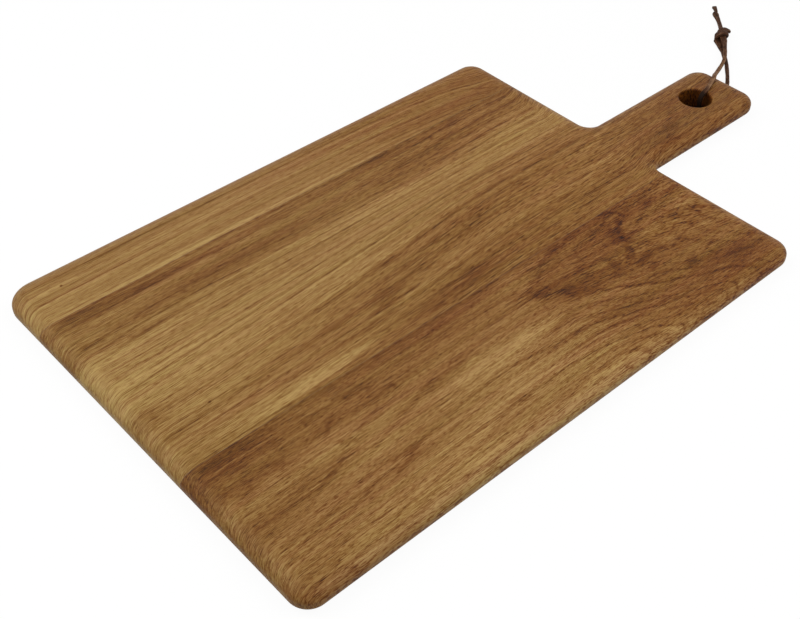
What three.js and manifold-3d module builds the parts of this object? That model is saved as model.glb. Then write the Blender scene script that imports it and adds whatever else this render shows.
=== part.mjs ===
// Serving board with handle: three oak staves glued edge to edge, the handle in one with the middle
// stave, and a leather hanging thong looped through the hole at the handle's end.
// Millimetres, +Z up. The origin is at the middle of the board's length and width, on its underside.
// +X points along the board to the handle's end and +Y across it to the far long edge.

import * as THREE from 'three';
import { mergeVertices } from 'three/addons/utils/BufferGeometryUtils.js';
import Module from 'manifold-3d';

// Board outline and thickness
const BLADE_LENGTH = 380;
const BLADE_WIDTH = 280;
const BLADE_CORNER_RADIUS = 12;
const BLADE_SOFT_CORNER_RADIUS = 17;
const HANDLE_LENGTH = 117.5;
const HANDLE_WIDTH = 54.5;
const HANDLE_ASIDE = -0.9;
const HANDLE_CORNER_RADIUS = 12;
const NECK_RADIUS = 8.5;
const THICKNESS = 15;

// The edge is worked to a flat oval, in from the outline and down from each face, with a lip between
const EDGE_ROUND_WIDTH = 11;
const EDGE_ROUND_DROP = 6.5;
const LEAST_LIP = 1;

// Staves and the glue between them: the middle stave takes the width that the outer two leave
const FAR_STAVE_WIDTH = 44;
const NEAR_STAVE_WIDTH = 98.4;
const GLUE_LINE = 0.2;

// Hanging hole
const HOLE_DIAMETER = 22.5;
const HOLE_FROM_END = 36.5;
const HOLE_RIM_RADIUS = 1.5;

// Thong: a flat lace, and the clearances that it keeps to the wood, to the table and to itself
const LACE_WIDTH = 3.4;
const LACE_THICKNESS = 2.4;
const LACE_EDGE_CHAMFER = 0.7;
const LACE_CLEARANCE = 0.3;
const SLANT_CLEARANCE = 0.55;
const TABLE_GAP = 0.1;
const GROOVE_SIDE_CLEARANCE = 0.5;
const UNDER_RUN_Y = -0.5;
const BIGHT_BOW = 6.2;

// Where the thong's free loop bends up from the table, measured from the handle's end
const HINGE_REACH = 25;
const HINGE_GAP = 0.3;

// Knot: an oval core with one turn of the lace lying slantwise round it
const KNOT_REACH = 60;
const KNOT_Y = 47.5;
const KNOT_HALF_LENGTH = 9.5;
const KNOT_HALF_WIDTH = 4.4;
const KNOT_HALF_HEIGHT = 3.2;
const KNOT_TURN_RADIUS = 1;
const KNOT_HEADING = THREE.MathUtils.degToRad(41);
const KNOT_TURN_SLANT = THREE.MathUtils.degToRad(28);

// The thong's way over the handle's end: angle down the oval edge, place across
const EDGE_ROUTE = [
  [0, 5.2],
  [30, 8],
  [52, 9.9],
];

// The loose loop's route as it lies on the table: reach past the handle's end, place across, height
const OVER_ROUTE = [
  [4, 13, 10.3],
  [11, 16.7, 6.6],
  [18.3, 20.4, 3.2],
  [25.4, 23, 2.6],
  [31, 24.7, 3.9],
  [37.1, 27.8, 4.25],
  [44.3, 32.8, 4.2],
  [50.2, 37.5, 4.15],
  [58, 44.5, 4.1],
];
const UNDER_ROUTE = [
  [5.5, 2],
  [14.3, 7.5],
  [20.5, 12],
  [26.3, 16.5],
  [31.9, 21.2],
  [35.7, 24.4],
  [40.6, 29.3],
  [47.5, 36.4],
  [58, 47],
];
const LONG_TAIL_ROUTE = [
  [62, 50, 4],
  [68, 54.6, 3],
  [72.6, 57.6, 2.1],
  [78.6, 63.2, 1.5],
  [84, 69, 1.3],
  [90.7, 75.8, 1.3],
  [97.2, 82.5, 1.3],
];
const SHORT_TAIL_ROUTE = [
  [62, 46.5, 4.6],
  [68, 48.8, 4.4],
  [72, 49.8, 3],
  [75.3, 50.2, 1.8],
];

// Fineness of the faceted shapes
const ARC_DIVISIONS = 5;
const EDGE_DIVISIONS = 7;
const HOLE_SIDES = 40;
const RIM_DIVISIONS = 4;
const BIGHT_TURN_DIVISIONS = 6;
const LOOP_STEPS = 80;
const STRAND_STEPS = 22;
const TAIL_STEPS = 8;
const STUB_STEPS = 4;
const KNOT_SIDES = 20;
const KNOT_RINGS = 12;
const KNOT_TURN_SIDES = 8;

// A cutter reaches this far past what it cuts
const CUT_MARGIN = 5;

// Places that follow from the sizes
const boardLength = BLADE_LENGTH + HANDLE_LENGTH;
const nearEnd = -boardLength / 2;
const neck = nearEnd + BLADE_LENGTH;
const handleEnd = boardLength / 2;
const farEdge = BLADE_WIDTH / 2;
const handleFar = HANDLE_ASIDE + HANDLE_WIDTH / 2;
const handleNear = HANDLE_ASIDE - HANDLE_WIDTH / 2;
const farSeam = farEdge - FAR_STAVE_WIDTH;
const nearSeam = -farEdge + NEAR_STAVE_WIDTH;
const holeX = handleEnd - HOLE_FROM_END;
const holeWall = holeX + HOLE_DIAMETER / 2;
const hingeX = handleEnd + HINGE_REACH;

// The rounded edge stays inside the plan corners and leaves a lip in the thickness
const cornerRadius = Math.min(BLADE_CORNER_RADIUS, BLADE_SOFT_CORNER_RADIUS, HANDLE_CORNER_RADIUS);
const edgeRoundWidth = Math.min(EDGE_ROUND_WIDTH, cornerRadius - LEAST_LIP);
const edgeRoundDrop = Math.min(EDGE_ROUND_DROP, (THICKNESS - LEAST_LIP) / 2);
const lip = THICKNESS - 2 * edgeRoundDrop;

// Heights of the lace's middle where it lies on the handle's top and on the table
const seat = LACE_THICKNESS / 2 + LACE_CLEARANCE;
const topRun = THICKNESS + seat;
const tableRun = LACE_THICKNESS / 2 + TABLE_GAP;

// The knot's middle, with its turn of lace just clear of the table
const knotHeight = KNOT_HALF_HEIGHT * (1 + KNOT_TURN_RADIUS / KNOT_HALF_WIDTH) + LACE_CLEARANCE;

const wasm = await Module();
wasm.setup();

// A closed three.js geometry as a solid for cutting and joining
function solidOf(geometry) {
  geometry.deleteAttribute('normal');
  geometry.deleteAttribute('uv');
  const merged = mergeVertices(geometry);
  return new wasm.Manifold(new wasm.Mesh({
    numProp: 3,
    vertProperties: merged.attributes.position.array,
    triVerts: new Uint32Array(merged.index.array),
  }));
}

// A solid as a named mesh with its own finish
function meshOf(name, solid, finish) {
  const cut = solid.getMesh();
  const geometry = new THREE.BufferGeometry();
  geometry.setAttribute('position', new THREE.BufferAttribute(cut.vertProperties, 3));
  geometry.setIndex(new THREE.BufferAttribute(cut.triVerts, 1));
  geometry.computeVertexNormals();
  const mesh = new THREE.Mesh(geometry, new THREE.MeshStandardMaterial({ metalness: 0, ...finish }));
  mesh.name = name;
  return mesh;
}

// A block between two opposite corners
function block(low, high) {
  const geometry = new THREE.BoxGeometry(high[0] - low[0], high[1] - low[1], high[2] - low[2]);
  geometry.translate((low[0] + high[0]) / 2, (low[1] + high[1]) / 2, (low[2] + high[2]) / 2);
  return solidOf(geometry);
}

// The board's plan: a rectangle with round corners, one of them softer than the others, and a handle
// that joins it in two small hollows
function boardOutline() {
  const quarter = Math.PI / 2;
  const blade = BLADE_CORNER_RADIUS;
  const soft = BLADE_SOFT_CORNER_RADIUS;
  const grip = HANDLE_CORNER_RADIUS;
  const shape = new THREE.Shape();
  shape.moveTo(nearEnd + blade, -farEdge);
  shape.lineTo(neck - blade, -farEdge);
  shape.absarc(neck - blade, -farEdge + blade, blade, -quarter, 0, false);
  shape.lineTo(neck, handleNear - NECK_RADIUS);
  shape.absarc(neck + NECK_RADIUS, handleNear - NECK_RADIUS, NECK_RADIUS, 2 * quarter, quarter, true);
  shape.lineTo(handleEnd - grip, handleNear);
  shape.absarc(handleEnd - grip, handleNear + grip, grip, -quarter, 0, false);
  shape.lineTo(handleEnd, handleFar - grip);
  shape.absarc(handleEnd - grip, handleFar - grip, grip, 0, quarter, false);
  shape.lineTo(neck + NECK_RADIUS, handleFar);
  shape.absarc(neck + NECK_RADIUS, handleFar + NECK_RADIUS, NECK_RADIUS, -quarter, -2 * quarter, true);
  shape.lineTo(neck, farEdge - blade);
  shape.absarc(neck - blade, farEdge - blade, blade, 0, quarter, false);
  shape.lineTo(nearEnd + soft, farEdge);
  shape.absarc(nearEnd + soft, farEdge - soft, soft, quarter, 2 * quarter, false);
  shape.lineTo(nearEnd, -farEdge + blade);
  shape.absarc(nearEnd + blade, -farEdge + blade, blade, 2 * quarter, 3 * quarter, false);
  return shape;
}

// The whole glued panel with its oval edge, before the hole
function boardBlank() {
  const geometry = new THREE.ExtrudeGeometry(boardOutline(), {
    depth: lip,
    curveSegments: ARC_DIVISIONS,
    bevelEnabled: true,
    bevelThickness: edgeRoundDrop,
    bevelSize: edgeRoundWidth,
    bevelOffset: -edgeRoundWidth,
    bevelSegments: EDGE_DIVISIONS,
  });
  geometry.translate(0, 0, edgeRoundDrop);
  return solidOf(geometry);
}

// What the drill and the rounding of both rims take out for the hanging hole
function holeCutter() {
  const wall = HOLE_DIAMETER / 2;
  const mouth = wall + HOLE_RIM_RADIUS;
  const profile = [new THREE.Vector2(0, -CUT_MARGIN), new THREE.Vector2(mouth, -CUT_MARGIN)];
  for (let i = 0; i <= RIM_DIVISIONS; i += 1) {
    const turn = (i / RIM_DIVISIONS) * (Math.PI / 2);
    profile.push(new THREE.Vector2(
      mouth - HOLE_RIM_RADIUS * Math.sin(turn),
      HOLE_RIM_RADIUS * (1 - Math.cos(turn)),
    ));
  }
  for (let i = RIM_DIVISIONS; i >= 0; i -= 1) {
    const turn = (i / RIM_DIVISIONS) * (Math.PI / 2);
    profile.push(new THREE.Vector2(
      mouth - HOLE_RIM_RADIUS * Math.sin(turn),
      THICKNESS - HOLE_RIM_RADIUS * (1 - Math.cos(turn)),
    ));
  }
  profile.push(new THREE.Vector2(mouth, THICKNESS + CUT_MARGIN));
  profile.push(new THREE.Vector2(0, THICKNESS + CUT_MARGIN));
  const geometry = new THREE.LatheGeometry(profile, HOLE_SIDES);
  geometry.rotateX(Math.PI / 2);
  geometry.translate(holeX, 0, 0);
  return solidOf(geometry);
}

// The shallow groove under the handle's end, where the thong's lower run lies clear of the table
function grooveCutter() {
  const halfWidth = LACE_WIDTH / 2 + GROOVE_SIDE_CLEARANCE;
  const roof = tableRun + seat;
  return block(
    [holeX, UNDER_RUN_Y - halfWidth, -CUT_MARGIN],
    [handleEnd + CUT_MARGIN, UNDER_RUN_Y + halfWidth, roof],
  );
}

// The part of the panel between two places across it
function slice(panel, from, to) {
  return panel.intersect(block(
    [nearEnd - CUT_MARGIN, from, -CUT_MARGIN],
    [handleEnd + CUT_MARGIN, to, THICKNESS + CUT_MARGIN],
  ));
}

// The lace's cross-section: its thickness along x and its width along y, with the edges taken off
function laceSection() {
  const t = LACE_THICKNESS / 2;
  const w = LACE_WIDTH / 2;
  const c = LACE_EDGE_CHAMFER;
  return new THREE.Shape([
    new THREE.Vector2(t, -w + c),
    new THREE.Vector2(t, w - c),
    new THREE.Vector2(t - c, w),
    new THREE.Vector2(-t + c, w),
    new THREE.Vector2(-t, w - c),
    new THREE.Vector2(-t, -w + c),
    new THREE.Vector2(-t + c, -w),
    new THREE.Vector2(t - c, -w),
  ]);
}

// The lace's path: a smooth curve on which the flat side stays level across, so the lace never rolls over
class LacePath extends THREE.CatmullRomCurve3 {
  computeFrenetFrames(segments) {
    const frames = { tangents: [], normals: [], binormals: [] };
    let across = new THREE.Vector3(0, 1, 0);
    for (let i = 0; i <= segments; i += 1) {
      const along = this.getTangentAt(i / segments);
      const level = new THREE.Vector3(-along.y, along.x, 0);
      if (level.dot(across) < 0) level.negate();
      if (level.lengthSq() > 0) across = level.normalize();
      frames.tangents.push(along);
      frames.normals.push(new THREE.Vector3().crossVectors(across, along));
      frames.binormals.push(across);
    }
    return frames;
  }
}

// A stretch of lace through the given points
function lace(points, steps) {
  const path = new LacePath(points, false, 'centripetal');
  return solidOf(new THREE.ExtrudeGeometry(laceSection(), { steps, extrudePath: path }));
}

function pastHandle([reach, across, height = tableRun]) {
  return new THREE.Vector3(handleEnd + reach, across, height);
}

// The lace's middle on the oval edge at the handle's end, which it crosses aslant
function overEdge([degrees, across]) {
  const turn = THREE.MathUtils.degToRad(degrees);
  const out = new THREE.Vector2(Math.sin(turn) / edgeRoundWidth, Math.cos(turn) / edgeRoundDrop);
  out.setLength(LACE_THICKNESS / 2 + SLANT_CLEARANCE);
  return new THREE.Vector3(
    handleEnd - edgeRoundWidth * (1 - Math.sin(turn)) + out.x,
    across,
    THICKNESS - edgeRoundDrop * (1 - Math.cos(turn)) + out.y,
  );
}

// The whole loop: in over the table, along the groove, up through the hole, over the top and out again
function loopPoints() {
  const points = UNDER_ROUTE.map(pastHandle).reverse();
  const rise = (topRun - tableRun) / 2;
  const bendX = holeWall - LACE_CLEARANCE;
  const leadX = bendX + LACE_WIDTH;
  points.push(new THREE.Vector3(handleEnd - LACE_WIDTH, UNDER_RUN_Y, tableRun));
  points.push(new THREE.Vector3((handleEnd + bendX) / 2, UNDER_RUN_Y, tableRun));
  points.push(new THREE.Vector3(leadX, UNDER_RUN_Y, tableRun));
  for (let i = 0; i <= BIGHT_TURN_DIVISIONS; i += 1) {
    const turn = (i / BIGHT_TURN_DIVISIONS) * Math.PI;
    points.push(new THREE.Vector3(
      bendX - BIGHT_BOW * Math.sin(turn),
      UNDER_RUN_Y,
      tableRun + rise * (1 - Math.cos(turn)),
    ));
  }
  points.push(new THREE.Vector3(leadX, UNDER_RUN_Y + LACE_CLEARANCE, topRun));
  return points.concat(EDGE_ROUTE.map(overEdge), OVER_ROUTE.map(pastHandle));
}

// The knot, or with growth the room that the lace ends keep round it
function knot(growth) {
  const core = new THREE.SphereGeometry(1, KNOT_SIDES, KNOT_RINGS);
  core.scale(KNOT_HALF_LENGTH + growth, KNOT_HALF_WIDTH + growth, KNOT_HALF_HEIGHT + growth);
  const turnRadius = KNOT_TURN_RADIUS + growth;
  const turn = new THREE.TorusGeometry(KNOT_HALF_WIDTH, turnRadius, KNOT_TURN_SIDES, KNOT_SIDES);
  turn.rotateY(Math.PI / 2);
  turn.scale(1, 1, KNOT_HALF_HEIGHT / KNOT_HALF_WIDTH);
  turn.rotateZ(KNOT_TURN_SLANT);
  for (const piece of [core, turn]) {
    piece.rotateZ(KNOT_HEADING);
    piece.translate(handleEnd + KNOT_REACH, KNOT_Y, knotHeight);
  }
  return solidOf(core).add(solidOf(turn));
}

const panel = boardBlank().subtract(holeCutter()).subtract(grooveCutter());
const halfGlue = GLUE_LINE / 2;
const outside = farEdge + CUT_MARGIN;

// Everything on the board's side of the thong's bend, and on the free loop's side
const reach = boardLength + BLADE_WIDTH;
const boardSide = block([-reach, -reach, -reach], [hingeX - HINGE_GAP / 2, reach, reach]);
const loopSide = block([hingeX + HINGE_GAP / 2, -reach, -reach], [reach, reach, reach]);
const knotRoom = knot(LACE_CLEARANCE);

function strand(route) {
  return lace(route.map(pastHandle), STRAND_STEPS).intersect(loopSide).subtract(knotRoom);
}

function tail(route, steps) {
  return lace(route.map(pastHandle), steps).subtract(knotRoom);
}

const paleOak = { color: 0xa07845, roughness: 0.55 };
const oak = { color: 0x956b3b, roughness: 0.55 };
const brownOak = { color: 0x8a6236, roughness: 0.55 };
const glue = { color: 0x7a5733, roughness: 0.7 };
const leather = { color: 0x3b2a20, roughness: 0.6 };

const board = new THREE.Group();
board.add(
  meshOf('stave_far', slice(panel, farSeam + halfGlue, outside), paleOak),
  meshOf('glue_line_far', slice(panel, farSeam - halfGlue, farSeam + halfGlue), glue),
  meshOf('stave_middle', slice(panel, nearSeam + halfGlue, farSeam - halfGlue), oak),
  meshOf('glue_line_near', slice(panel, nearSeam - halfGlue, nearSeam + halfGlue), glue),
  meshOf('stave_near', slice(panel, -outside, nearSeam - halfGlue), brownOak),
  meshOf('thong_bight', lace(loopPoints(), LOOP_STEPS).intersect(boardSide), leather),
);

const loop = new THREE.Group();
loop.add(
  meshOf('thong_strand_over', strand(OVER_ROUTE), leather),
  meshOf('thong_strand_under', strand(UNDER_ROUTE), leather),
  meshOf('thong_knot', knot(0), leather),
  meshOf('thong_tail_long', tail(LONG_TAIL_ROUTE, TAIL_STEPS), leather),
  meshOf('thong_tail_short', tail(SHORT_TAIL_ROUTE, STUB_STEPS), leather),
);

const servingBoard = new THREE.Group();
servingBoard.add(board, loop);

export default servingBoard;
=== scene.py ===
import math

import bmesh
import bpy
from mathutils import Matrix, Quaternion, Vector


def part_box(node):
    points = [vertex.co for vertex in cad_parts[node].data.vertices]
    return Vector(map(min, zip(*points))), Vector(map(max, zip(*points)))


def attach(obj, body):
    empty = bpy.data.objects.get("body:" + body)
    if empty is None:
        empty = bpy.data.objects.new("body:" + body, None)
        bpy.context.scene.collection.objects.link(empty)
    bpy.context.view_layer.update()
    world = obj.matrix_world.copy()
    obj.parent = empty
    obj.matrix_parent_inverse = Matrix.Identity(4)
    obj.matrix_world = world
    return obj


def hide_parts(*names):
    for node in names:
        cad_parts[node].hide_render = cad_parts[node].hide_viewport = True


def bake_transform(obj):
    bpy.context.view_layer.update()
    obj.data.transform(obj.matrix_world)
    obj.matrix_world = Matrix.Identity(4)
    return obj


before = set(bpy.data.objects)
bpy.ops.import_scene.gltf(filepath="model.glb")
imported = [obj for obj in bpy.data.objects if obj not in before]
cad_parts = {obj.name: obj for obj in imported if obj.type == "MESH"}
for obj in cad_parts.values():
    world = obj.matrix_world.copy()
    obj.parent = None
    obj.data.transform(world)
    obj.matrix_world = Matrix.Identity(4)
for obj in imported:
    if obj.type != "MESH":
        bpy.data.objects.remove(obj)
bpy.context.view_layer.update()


# Camera: it stands at the board's near left corner and looks down along the diagonal, as the
# photograph was taken. It aims at a point on the table under the blade.

MM = 0.001
PICTURE_WIDTH = 800
FOCAL_PIXELS = 1204.2
AIM = Vector((-75.61, -12.1, 0.0)) * MM
AIM_DISTANCE = 704.2 * MM
CAMERA_AZIMUTH = math.radians(42.303)
CAMERA_ELEVATION = math.radians(43.359)
CAMERA_ROLL = math.radians(0.597)

sight = Vector((
    math.cos(CAMERA_ELEVATION) * math.sin(CAMERA_AZIMUTH),
    math.cos(CAMERA_ELEVATION) * math.cos(CAMERA_AZIMUTH),
    -math.sin(CAMERA_ELEVATION),
))
bpy.ops.object.camera_add(location=AIM - AIM_DISTANCE * sight)
camera = bpy.context.object
camera.rotation_mode = "QUATERNION"
camera.rotation_quaternion = sight.to_track_quat("-Z", "Y") @ Quaternion((0, 0, 1), CAMERA_ROLL)
camera.data.sensor_width = 36.0
camera.data.lens = camera.data.sensor_width * FOCAL_PIXELS / PICTURE_WIDTH
camera.data.clip_start = 0.01
camera.data.clip_end = 50.0
bpy.context.scene.camera = camera


# The panel: three oak staves are edge-glued into one panel, the blade with its handle is sawn out,
# the edges are rounded over to an oval with a narrow lip, and the hanging hole is drilled and eased.
# A shallow groove under the handle lets the thong pass when the board lies flat.

near_stave_low, near_stave_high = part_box("stave_near")
middle_stave_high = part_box("stave_middle")[1]
BLADE_END = near_stave_low.x
NECK = near_stave_high.x
BLADE_HALF_WIDTH = -near_stave_low.y
HANDLE_END = middle_stave_high.x
THICKNESS = middle_stave_high.z
HANDLE_FAR = 26.35 * MM
HANDLE_NEAR = -28.15 * MM
BLADE_CORNER = 12.0 * MM
BLADE_SOFT_CORNER = 17.0 * MM
HANDLE_CORNER = 12.0 * MM
NECK_CORNER = 8.5 * MM
CORNER_STEPS = 14
EDGE_ROUND_WIDTH = 11.0 * MM
EDGE_ROUND_DROP = 6.5 * MM
EDGE_STEPS = 14
HOLE_X = HANDLE_END - 36.5 * MM
HOLE_RADIUS = 11.25 * MM
HOLE_STEPS = 72
HOLE_RIM = 1.5 * MM
RIM_STEPS = 5
GROOVE_Y = -0.5 * MM
GROOVE_HALF_WIDTH = 2.2 * MM
GROOVE_DEPTH = 2.8 * MM
GROOVE_CORNER = 0.8 * MM
GROOVE_CORNER_STEPS = 4
GROOVE_OVERRUN = 10.0 * MM
TOUCH = 1e-5


def pick(kind, test):
    """In edit mode, selects only the vertices, edges or faces whose corner points pass the test."""
    bpy.ops.mesh.select_mode(type=kind)
    bpy.ops.mesh.select_all(action="DESELECT")
    shape = bmesh.from_edit_mesh(bpy.context.object.data)
    if kind == "VERT":
        for corner in shape.verts:
            corner.select = test([corner.co])
    elif kind == "EDGE":
        for edge in shape.edges:
            edge.select = test([corner.co for corner in edge.verts])
    else:
        for face in shape.faces:
            face.select = test([corner.co for corner in face.verts])
    shape.select_flush_mode()
    bmesh.update_edit_mesh(bpy.context.object.data)


def round_corner(corner_x, corner_y, radius):
    """Rounds the outline's corner at that place."""
    pick("VERT", lambda points: math.hypot(points[0].x - corner_x, points[0].y - corner_y) < TOUCH)
    bpy.ops.mesh.bevel(offset=radius, segments=CORNER_STEPS, profile=0.5, affect="VERTICES")


def cut_away(piece, cutter):
    """Takes the cutter's shape out of the piece, and deletes the cutter."""
    bpy.ops.object.select_all(action="DESELECT")
    bpy.context.view_layer.objects.active = piece
    piece.select_set(True)
    cut = piece.modifiers.new("cut", "BOOLEAN")
    cut.operation = "DIFFERENCE"
    cut.solver = "EXACT"
    cut.object = cutter
    bpy.ops.object.modifier_apply(modifier="cut")
    bpy.data.objects.remove(cutter)


bpy.ops.object.select_all(action="DESELECT")
bpy.ops.mesh.primitive_plane_add(size=1, location=((BLADE_END + NECK) / 2, 0, 0))
panel = bpy.context.object
panel.name = "panel"
panel.scale = (NECK - BLADE_END, 2 * BLADE_HALF_WIDTH, 1)
bpy.ops.object.transform_apply(location=True, rotation=True, scale=True)

bpy.ops.object.mode_set(mode="EDIT")
for handle_edge in (HANDLE_FAR, HANDLE_NEAR):
    bpy.ops.mesh.select_all(action="SELECT")
    bpy.ops.mesh.bisect(plane_co=(0, handle_edge, 0), plane_no=(0, 1, 0))
pick("EDGE", lambda points: all(
    p.x > NECK - TOUCH and HANDLE_NEAR - TOUCH < p.y < HANDLE_FAR + TOUCH for p in points
))
bpy.ops.mesh.extrude_edges_move(
    TRANSFORM_OT_translate={"value": (HANDLE_END - NECK, 0, 0)}
)
bpy.ops.mesh.select_all(action="SELECT")
bpy.ops.mesh.dissolve_limited()
round_corner(BLADE_END, BLADE_HALF_WIDTH, BLADE_SOFT_CORNER)
round_corner(BLADE_END, -BLADE_HALF_WIDTH, BLADE_CORNER)
for blade_edge in (BLADE_HALF_WIDTH, -BLADE_HALF_WIDTH):
    round_corner(NECK, blade_edge, BLADE_CORNER)
for handle_edge in (HANDLE_FAR, HANDLE_NEAR):
    round_corner(NECK, handle_edge, NECK_CORNER)
    round_corner(HANDLE_END, handle_edge, HANDLE_CORNER)

# The edge is bevelled round on a panel of stretched height, which then settles to the oval.
stretch = EDGE_ROUND_WIDTH / EDGE_ROUND_DROP
tall = THICKNESS * stretch
bpy.ops.mesh.select_mode(type="FACE")
bpy.ops.mesh.select_all(action="SELECT")
bpy.ops.mesh.extrude_region_move(TRANSFORM_OT_translate={"value": (0, 0, tall)})
pick("EDGE", lambda points: (
    all(p.z < TOUCH for p in points) or all(p.z > tall - TOUCH for p in points)
))
bpy.ops.mesh.bevel(
    offset=EDGE_ROUND_WIDTH, segments=EDGE_STEPS, profile=0.5, affect="EDGES", clamp_overlap=False
)
bpy.ops.mesh.select_all(action="SELECT")
bpy.ops.mesh.normals_make_consistent(inside=False)
bpy.ops.object.mode_set(mode="OBJECT")
panel.scale.z = 1 / stretch
bpy.ops.object.transform_apply(location=True, rotation=True, scale=True)

bpy.ops.object.select_all(action="DESELECT")
bpy.ops.mesh.primitive_cylinder_add(
    vertices=HOLE_STEPS, radius=HOLE_RADIUS, depth=3 * THICKNESS, location=(HOLE_X, 0, 0)
)
cut_away(panel, bpy.context.object)
bpy.ops.object.mode_set(mode="EDIT")
pick("EDGE", lambda points: all(
    abs(math.hypot(p.x - HOLE_X, p.y) - HOLE_RADIUS) < TOUCH for p in points
) and abs(points[0].z - points[1].z) < TOUCH)
bpy.ops.mesh.bevel(offset=HOLE_RIM, segments=RIM_STEPS, profile=0.5, affect="EDGES")
bpy.ops.object.mode_set(mode="OBJECT")

bpy.ops.object.select_all(action="DESELECT")
groove_end = HANDLE_END + GROOVE_OVERRUN
bpy.ops.mesh.primitive_cube_add(size=1, location=((HOLE_X + groove_end) / 2, GROOVE_Y, 0))
groove = bpy.context.object
groove.scale = (groove_end - HOLE_X, 2 * GROOVE_HALF_WIDTH, 2 * GROOVE_DEPTH)
bpy.ops.object.transform_apply(location=True, rotation=True, scale=True)
bpy.ops.object.mode_set(mode="EDIT")
pick("EDGE", lambda points: all(p.z > 0 for p in points) and (
    abs(points[0].y - points[1].y) < TOUCH
))
bpy.ops.mesh.bevel(
    offset=GROOVE_CORNER, segments=GROOVE_CORNER_STEPS, profile=0.5, affect="EDGES"
)
bpy.ops.object.mode_set(mode="OBJECT")
cut_away(panel, groove)


# The far stave: a narrow plank of white oak along the far edge, sawn nearly across its rings, so it
# shows long straight lines. It is glued to the middle stave and oiled to a warm brown satin.

SMOOTH_ANGLE = math.radians(32)


def slice_of_panel(name, cad_node):
    """The part of the panel between that node's long edges, sawn straight along the grain."""
    low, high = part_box(cad_node)
    bpy.ops.object.select_all(action="DESELECT")
    piece = panel.copy()
    piece.data = panel.data.copy()
    piece.name = name
    piece.data.name = name
    bpy.context.collection.objects.link(piece)
    bpy.context.view_layer.objects.active = piece
    piece.select_set(True)
    bpy.ops.object.mode_set(mode="EDIT")
    for place, away in ((low.y, -1), (high.y, 1)):
        if abs(place) > BLADE_HALF_WIDTH - TOUCH:
            continue
        bpy.ops.mesh.select_all(action="SELECT")
        bpy.ops.mesh.bisect(
            plane_co=(0, place, 0), plane_no=(0, away, 0), use_fill=True, clear_outer=True
        )
    bpy.ops.object.mode_set(mode="OBJECT")
    bpy.ops.object.shade_smooth_by_angle(angle=SMOOTH_ANGLE)
    evened = piece.modifiers.new("evened", "WEIGHTED_NORMAL")
    evened.keep_sharp = True
    bpy.ops.object.modifier_apply(modifier="evened")
    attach(piece, "board")
    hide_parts(cad_node)
    return piece


far_stave = slice_of_panel("far_stave", "stave_far")

# The grain is drawn in millimetres, with x along the stave, y across it and z through it.
UNIT = 1 / MM


def node(tree, kind, inputs=None, **settings):
    """Adds a shader node and feeds its inputs from other nodes' sockets or from plain values."""
    made = tree.nodes.new("ShaderNode" + kind)
    for name, value in settings.items():
        setattr(made, name, value)
    for name, value in (inputs or {}).items():
        if isinstance(value, bpy.types.NodeSocket):
            tree.links.new(value, made.inputs[name])
        else:
            made.inputs[name].default_value = value
    return made


def calc(tree, operation, *values):
    """The result of one Math node."""
    return node(tree, "Math", dict(enumerate(values)), operation=operation).outputs[0]


def total(tree, *values):
    """The sum of several values."""
    result = values[0]
    for value in values[1:]:
        result = calc(tree, "ADD", result, value)
    return result


def ease(tree, value, start, end, low=0.0, high=1.0):
    """Passes smoothly from low to high as the value goes from start to end."""
    made = node(tree, "MapRange", {
        "Value": value, "From Min": start, "From Max": end, "To Min": low, "To Max": high,
    }, interpolation_type="SMOOTHSTEP")
    return made.outputs["Result"]


def drawn(tree, value, points):
    """A smooth curve through the (value, result) points, held level past its ends."""
    low = points[0][0]
    high = points[-1][0]
    floor_level = min(result for at, result in points)
    span = max(max(result for at, result in points) - floor_level, 1e-6)
    place = node(tree, "MapRange", {"Value": value, "From Min": low, "From Max": high}).outputs[0]
    made = node(tree, "FloatCurve", {"Value": place})
    line = made.mapping.curves[0]
    shaped = [((at - low) / (high - low), (result - floor_level) / span) for at, result in points]
    line.points[0].location = shaped[0]
    line.points[1].location = shaped[-1]
    for spot in shaped[1:-1]:
        line.points.new(*spot)
    made.mapping.update()
    return calc(tree, "MULTIPLY_ADD", made.outputs[0], span, floor_level)


def noise(tree, place, stretch, detail=2.0, roughness=0.5, shift=0.0):
    """Noise from 0 to 1, stretched to those lengths along x, y and z."""
    scaled = node(tree, "Mapping", {
        "Vector": place, "Location": (shift, shift, shift),
        "Scale": tuple(1 / length for length in stretch),
    }).outputs[0]
    made = node(tree, "TexNoise", {
        "Vector": scaled, "Scale": 1.0, "Detail": detail, "Roughness": roughness,
    })
    return made.outputs["Fac"]


def swing(tree, place, stretch, **texture):
    """The same noise, swinging about nothing from -0.5 to 0.5."""
    return calc(tree, "SUBTRACT", noise(tree, place, stretch, **texture), 0.5)


def new_group(name, inputs, outputs):
    """An empty shader node group with those named sockets."""
    group = bpy.data.node_groups.new(name, "ShaderNodeTree")
    for label, kind in inputs:
        group.interface.new_socket(name=label, in_out="INPUT", socket_type="NodeSocket" + kind)
    for label, kind in outputs:
        group.interface.new_socket(name=label, in_out="OUTPUT", socket_type="NodeSocket" + kind)
    return group, group.nodes.new("NodeGroupInput").outputs, group.nodes.new("NodeGroupOutput").inputs


# A mark is an oval with a tone of its own, which frays out along the grain. Most marks are in the wood; a
# few are painted highlights and painted light on the edges.
MARK_INPUTS = ("X", "Y", "Fray", "Middle X", "Middle Y", "Half Length", "Half Width", "Slant")
MARK_RIM = 1.35
MARK_CORE = 0.45

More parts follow.
